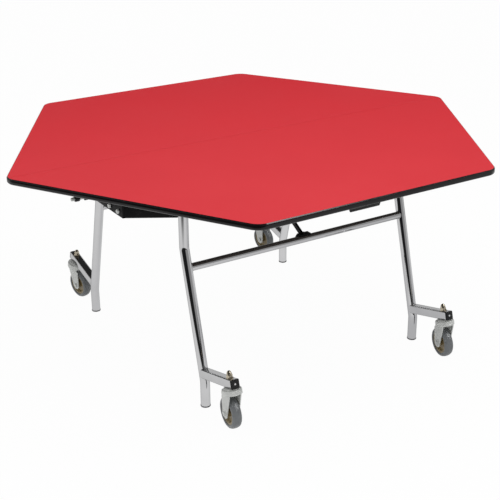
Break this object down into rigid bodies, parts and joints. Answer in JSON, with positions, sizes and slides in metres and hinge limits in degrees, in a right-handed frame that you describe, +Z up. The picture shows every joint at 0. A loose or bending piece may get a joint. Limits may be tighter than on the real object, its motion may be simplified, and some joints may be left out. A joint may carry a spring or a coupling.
{
  "type": "mobile folding cafeteria table",
  "caption": "Hexagonal mobile cafeteria table with a centre-folding laminate top, bent chrome legs, crossbars and swivel casters on angled arms.",
  "frame": {"origin": "on the floor under the middle of the top", "axes": "+X along the fold line to the right, +Y away from the front half, +Z up"},
  "size_m": [1.7442, 1.524, 0.74],
  "materials": {
    "red_laminate": "red high-pressure laminate on a particle board core",
    "black_edging": "black moulded edge band",
    "black_steel": "black powder coat on sheet steel",
    "chrome_tube": "bright chrome on steel tube",
    "zinc_plate": "bright zinc plate",
    "black_plastic": "moulded black plastic",
    "grey_glide": "grey nylon glide",
    "grey_rubber": "grey non-marking rubber",
    "tan_plastic": "tan moulded plastic"
  },
  "bodies": {
    "front_top": {"front_top_panel": "red_laminate", "front_edge_band": "black_edging", "front_apron": "black_steel", "front_left_hinge_plate": "black_steel", "front_right_hinge_plate": "black_steel", "front_left_leg_bracket": "black_steel", "front_right_leg_bracket": "black_steel", "front_grip": "black_plastic", "front_link_clevis": "black_steel", "left_fold_pin": "zinc_plate", "right_fold_pin": "zinc_plate"},
    "front_legs": {"front_crossbar": "chrome_tube", "front_link_saddle": "black_steel", "front_left_leg": "chrome_tube", "front_left_caster_arm": "chrome_tube", "front_left_arm_cap": "black_plastic", "front_left_foot_glide": "grey_glide", "front_left_stem_nut": "zinc_plate", "front_right_leg": "chrome_tube", "front_right_caster_arm": "chrome_tube", "front_right_arm_cap": "black_plastic", "front_right_foot_glide": "grey_glide", "front_right_stem_nut": "zinc_plate"},
    "front_link": {"front_fold_link": "black_steel"},
    "front_left_swivel": {"front_left_caster_fork": "zinc_plate"},
    "front_left_wheel": {"front_left_wheel_hub": "tan_plastic", "front_left_tyre": "grey_rubber"},
    "front_right_swivel": {"front_right_caster_fork": "zinc_plate"},
    "front_right_wheel": {"front_right_wheel_hub": "tan_plastic", "front_right_tyre": "grey_rubber"},
    "rear_top": {"rear_top_panel": "red_laminate", "rear_edge_band": "black_edging", "rear_apron": "black_steel", "rear_left_hinge_plate": "black_steel", "rear_right_hinge_plate": "black_steel", "rear_left_leg_bracket": "black_steel", "rear_right_leg_bracket": "black_steel", "rear_grip": "black_plastic", "rear_link_clevis": "black_steel"},
    "rear_legs": {"rear_crossbar": "chrome_tube", "rear_link_saddle": "black_steel", "rear_left_leg": "chrome_tube", "rear_left_caster_arm": "chrome_tube", "rear_left_arm_cap": "black_plastic", "rear_left_foot_glide": "grey_glide", "rear_left_stem_nut": "zinc_plate", "rear_right_leg": "chrome_tube", "rear_right_caster_arm": "chrome_tube", "rear_right_arm_cap": "black_plastic", "rear_right_foot_glide": "grey_glide", "rear_right_stem_nut": "zinc_plate"},
    "rear_link": {"rear_fold_link": "black_steel"},
    "rear_left_swivel": {"rear_left_caster_fork": "zinc_plate"},
    "rear_left_wheel": {"rear_left_wheel_hub": "tan_plastic", "rear_left_tyre": "grey_rubber"},
    "rear_right_swivel": {"rear_right_caster_fork": "zinc_plate"},
    "rear_right_wheel": {"rear_right_wheel_hub": "tan_plastic", "rear_right_tyre": "grey_rubber"}
  },
  "joints": [
    {"name": "table_fold", "type": "hinge", "parent": "front_top", "child": "rear_top", "pos_m": [0, 0, 0.628], "axis": [-1, 0, 0], "range_deg": [0, 180]},
    {"name": "front_leg_fold", "type": "hinge", "parent": "front_top", "child": "front_legs", "pos_m": [0, -0.31, 0.7], "axis": [-1, 0, 0], "range_deg": [0, 77]},
    {"name": "front_link_turn", "type": "hinge", "parent": "front_legs", "child": "front_link", "pos_m": [0.018, -0.30755, 0.461], "axis": [1, 0, 0], "range_deg": [0, 37.3]},
    {"name": "front_left_swivel_turn", "type": "hinge", "parent": "front_legs", "child": "front_left_swivel", "pos_m": [-0.431, -0.57919, 0.16107], "axis": [0, 0.2504, 0.9681], "continuous": true},
    {"name": "front_left_wheel_spin", "type": "hinge", "parent": "front_left_swivel", "child": "front_left_wheel", "pos_m": [-0.42755, -0.57316, 0.05332], "axis": [0.9945, -0.1012, 0.0262], "continuous": true},
    {"name": "front_right_swivel_turn", "type": "hinge", "parent": "front_legs", "child": "front_right_swivel", "pos_m": [0.431, -0.57919, 0.16107], "axis": [0, 0.2504, 0.9681], "continuous": true},
    {"name": "front_right_wheel_spin", "type": "hinge", "parent": "front_right_swivel", "child": "front_right_wheel", "pos_m": [0.43786, -0.57368, 0.05346], "axis": [0.9781, -0.2013, 0.0521], "continuous": true},
    {"name": "rear_leg_fold", "type": "hinge", "parent": "rear_top", "child": "rear_legs", "pos_m": [0, 0.31, 0.7], "axis": [1, 0, 0], "range_deg": [0, 77]},
    {"name": "rear_link_turn", "type": "hinge", "parent": "rear_legs", "child": "rear_link", "pos_m": [-0.018, 0.30755, 0.461], "axis": [-1, 0, 0], "range_deg": [0, 37.3]},
    {"name": "rear_left_swivel_turn", "type": "hinge", "parent": "rear_legs", "child": "rear_left_swivel", "pos_m": [-0.431, 0.57919, 0.16107], "axis": [0, -0.2504, 0.9681], "continuous": true},
    {"name": "rear_left_wheel_spin", "type": "hinge", "parent": "rear_left_swivel", "child": "rear_left_wheel", "pos_m": [-0.4247, 0.57357, 0.05343], "axis": [-0.9816, -0.1847, -0.0478], "continuous": true},
    {"name": "rear_right_swivel_turn", "type": "hinge", "parent": "rear_legs", "child": "rear_right_swivel", "pos_m": [0.431, 0.57919, 0.16107], "axis": [0, -0.2504, 0.9681], "continuous": true},
    {"name": "rear_right_wheel_spin", "type": "hinge", "parent": "rear_right_swivel", "child": "rear_right_wheel", "pos_m": [0.43445, 0.57316, 0.05332], "axis": [-0.9945, -0.1012, -0.0262], "continuous": true}
  ],
  "couplings": [
    {"joint": "front_leg_fold", "follows": "table_fold", "ratio": 0.42778},
    {"joint": "front_link_turn", "follows": "table_fold", "ratio": 0.2072},
    {"joint": "rear_leg_fold", "follows": "table_fold", "ratio": 0.42778},
    {"joint": "rear_link_turn", "follows": "table_fold", "ratio": 0.2072}
  ]
}
